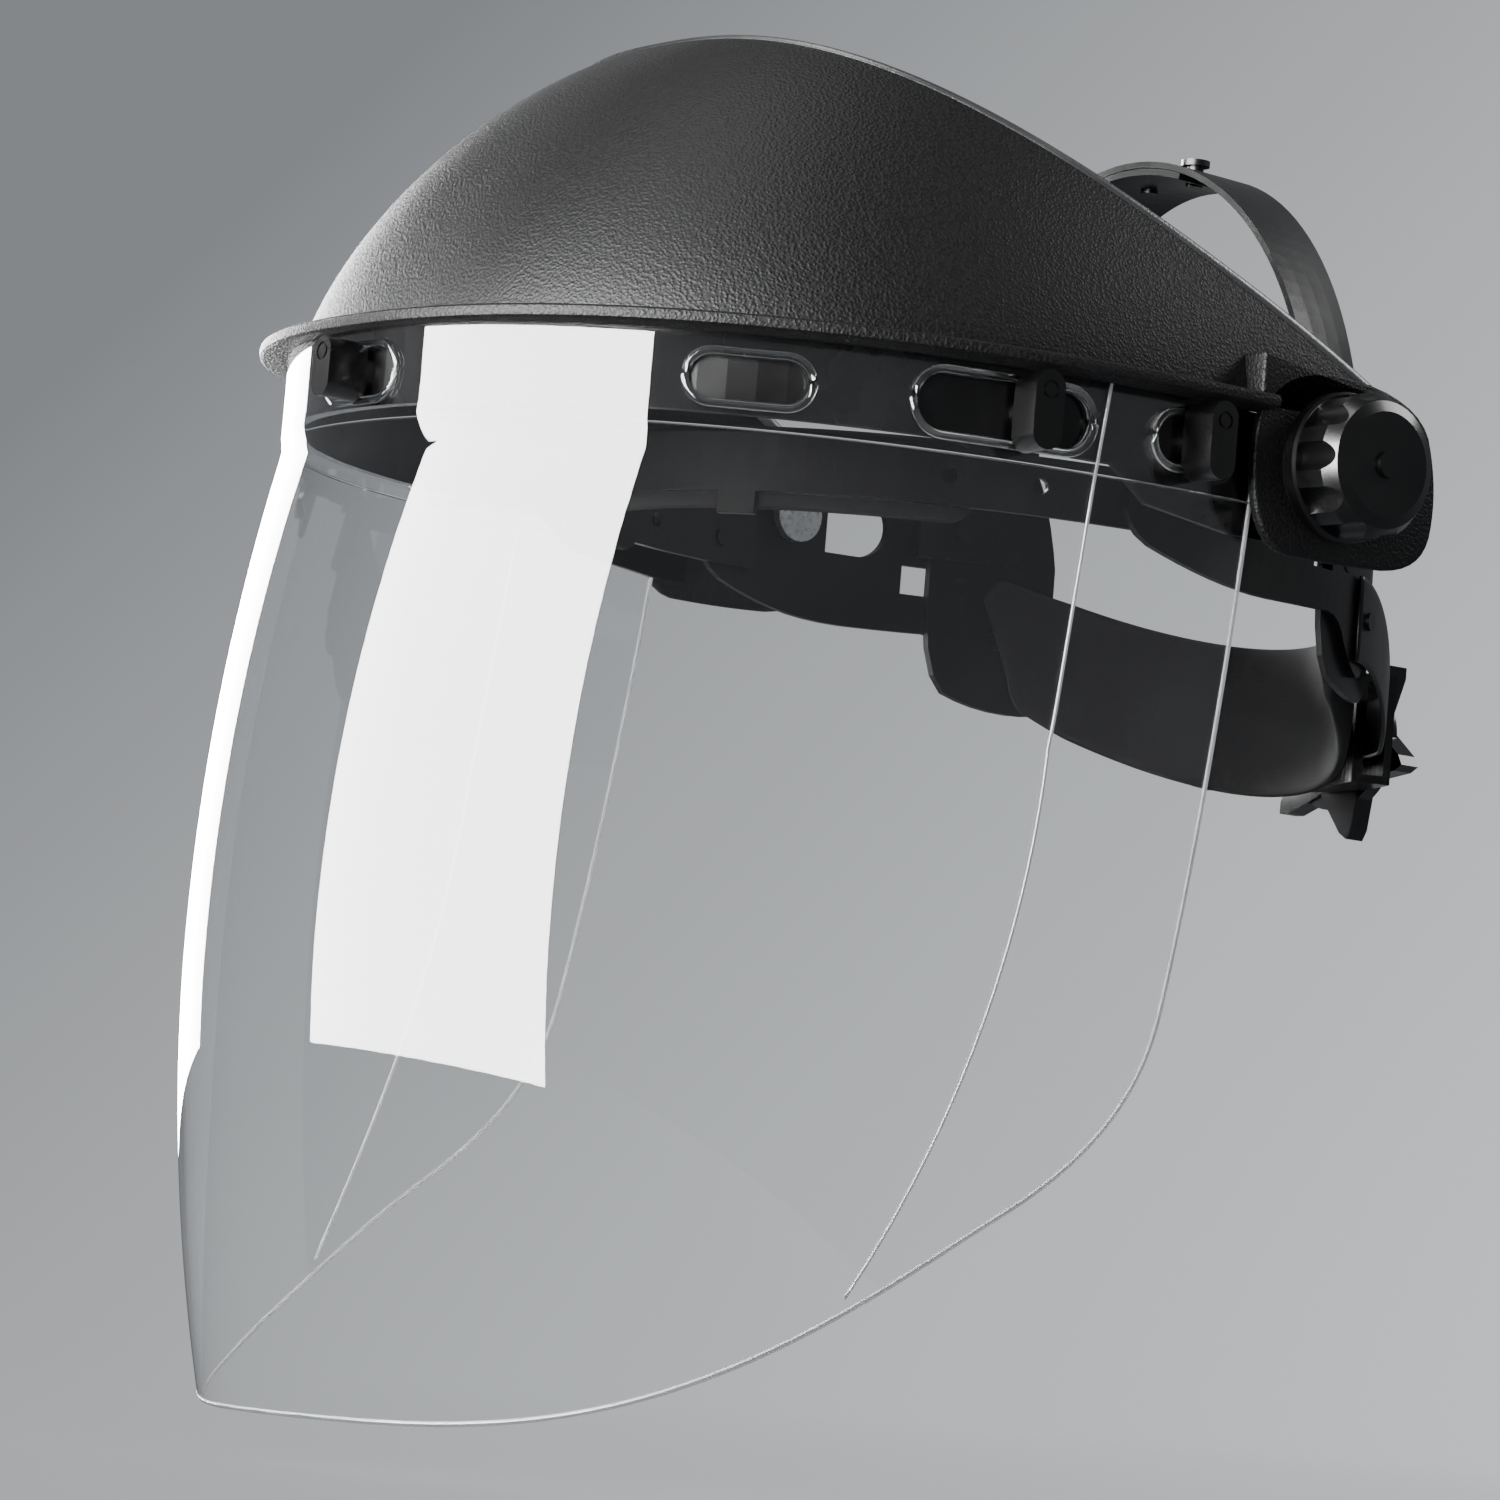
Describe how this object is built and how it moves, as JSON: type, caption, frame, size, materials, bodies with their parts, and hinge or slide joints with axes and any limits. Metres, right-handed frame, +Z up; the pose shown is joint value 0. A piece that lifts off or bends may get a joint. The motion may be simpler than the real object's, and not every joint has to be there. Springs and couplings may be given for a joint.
{
  "type": "face shield",
  "caption": "Face shield with a grained half-dome crown, clear curved window held by turn latches, tilt knobs and a ratchet headband.",
  "frame": {"origin": "midpoint of the crown's tilt axis between the two side pivots", "axes": "+X towards the wearer's left, -Y to the front, +Z up"},
  "size_m": [0.2624, 0.3109, 0.3088],
  "materials": {
    "crown_grain": "leather-grain moulded",
    "gloss_black": "gloss",
    "clear_window": "clear polycarbonate",
    "nylon": "natural nylon",
    "brass": "turned",
    "steel": "zinc plated",
    "strap_black": "semi-matt moulded",
    "pad_black": "matt soft pad"
  },
  "bodies": {
    "headband": {"pivot_bolt_left": "steel", "pivot_bolt_right": "steel", "pivot_bracket_left": "strap_black", "pivot_bracket_right": "strap_black", "brow_band": "strap_black", "sweatband": "pad_black", "side_frame_left": "strap_black", "side_frame_right": "strap_black", "rear_plate_left": "strap_black", "rear_plate_right": "strap_black", "frame_rivets": "strap_black", "overhead_strap_left": "strap_black", "overhead_strap_right": "strap_black", "strap_pegs": "strap_black", "nape_strap_left": "strap_black", "nape_strap_right": "strap_black"},
    "crown": {"crown_shell": "crown_grain", "window_carrier": "gloss_black", "window": "clear_window", "friction_washer_left": "nylon", "friction_washer_right": "nylon"},
    "knob_left": {"pivot_knob_left": "gloss_black", "knob_insert_left": "brass"},
    "knob_right": {"pivot_knob_right": "gloss_black", "knob_insert_right": "brass"},
    "ratchet_housing": {"housing_base": "gloss_black", "housing_cover": "gloss_black", "pawl_spring": "steel", "nape_pad": "pad_black"},
    "ratchet_dial": {"pinion": "nylon", "ratchet_knob": "gloss_black", "knob_screw": "steel"},
    "latch_centre": {"latch_centre": "gloss_black"},
    "latch_mid_left": {"latch_mid_left": "gloss_black"},
    "latch_mid_right": {"latch_mid_right": "gloss_black"},
    "latch_rear_left": {"latch_rear_left": "gloss_black"},
    "latch_rear_right": {"latch_rear_right": "gloss_black"}
  },
  "joints": [
    {"name": "crown_tilt", "type": "hinge", "parent": "headband", "child": "crown", "pos_m": [0, 0, 0], "axis": [-1, 0, 0], "range_deg": [0, 80]},
    {"name": "tilt_knob_left", "type": "hinge", "parent": "headband", "child": "knob_left", "pos_m": [0.12, 0, 0], "axis": [1, 0, 0], "continuous": true},
    {"name": "tilt_knob_right", "type": "hinge", "parent": "headband", "child": "knob_right", "pos_m": [-0.12, 0, 0], "axis": [-1, 0, 0], "continuous": true},
    {"name": "latch_centre_turn", "type": "hinge", "parent": "crown", "child": "latch_centre", "pos_m": [0, -0.18, 0.0005], "axis": [0, -1, 0], "range_deg": [0, 90]},
    {"name": "latch_mid_left_turn", "type": "hinge", "parent": "crown", "child": "latch_mid_left", "pos_m": [0.1029, -0.079, 0.0005], "axis": [0.9787, -0.2055, 0], "range_deg": [0, 90]},
    {"name": "latch_mid_right_turn", "type": "hinge", "parent": "crown", "child": "latch_mid_right", "pos_m": [-0.1029, -0.079, 0.0005], "axis": [-0.9787, -0.2055, 0], "range_deg": [0, 90]},
    {"name": "latch_rear_left_turn", "type": "hinge", "parent": "crown", "child": "latch_rear_left", "pos_m": [0.10783, -0.036, 0.0005], "axis": [0.9995, -0.0319, 0], "range_deg": [0, 90]},
    {"name": "latch_rear_right_turn", "type": "hinge", "parent": "crown", "child": "latch_rear_right", "pos_m": [-0.10783, -0.036, 0.0005], "axis": [-0.9995, -0.0319, 0], "range_deg": [0, 90]},
    {"name": "nape_slide", "type": "slide", "parent": "headband", "child": "ratchet_housing", "axis": [0, 1, 0], "range_m": [-0.02, 0.008], "deforming": ["nape_strap_left", "nape_strap_right", "nape_pad"]},
    {"name": "ratchet_dial_turn", "type": "hinge", "parent": "ratchet_housing", "child": "ratchet_dial", "pos_m": [0, 0.11, -0.043], "axis": [0, 1, 0], "range_deg": [-130, 55]}
  ],
  "couplings": [
    {"joint": "ratchet_dial_turn", "follows": "nape_slide", "rad_per_m": 109}
  ]
}
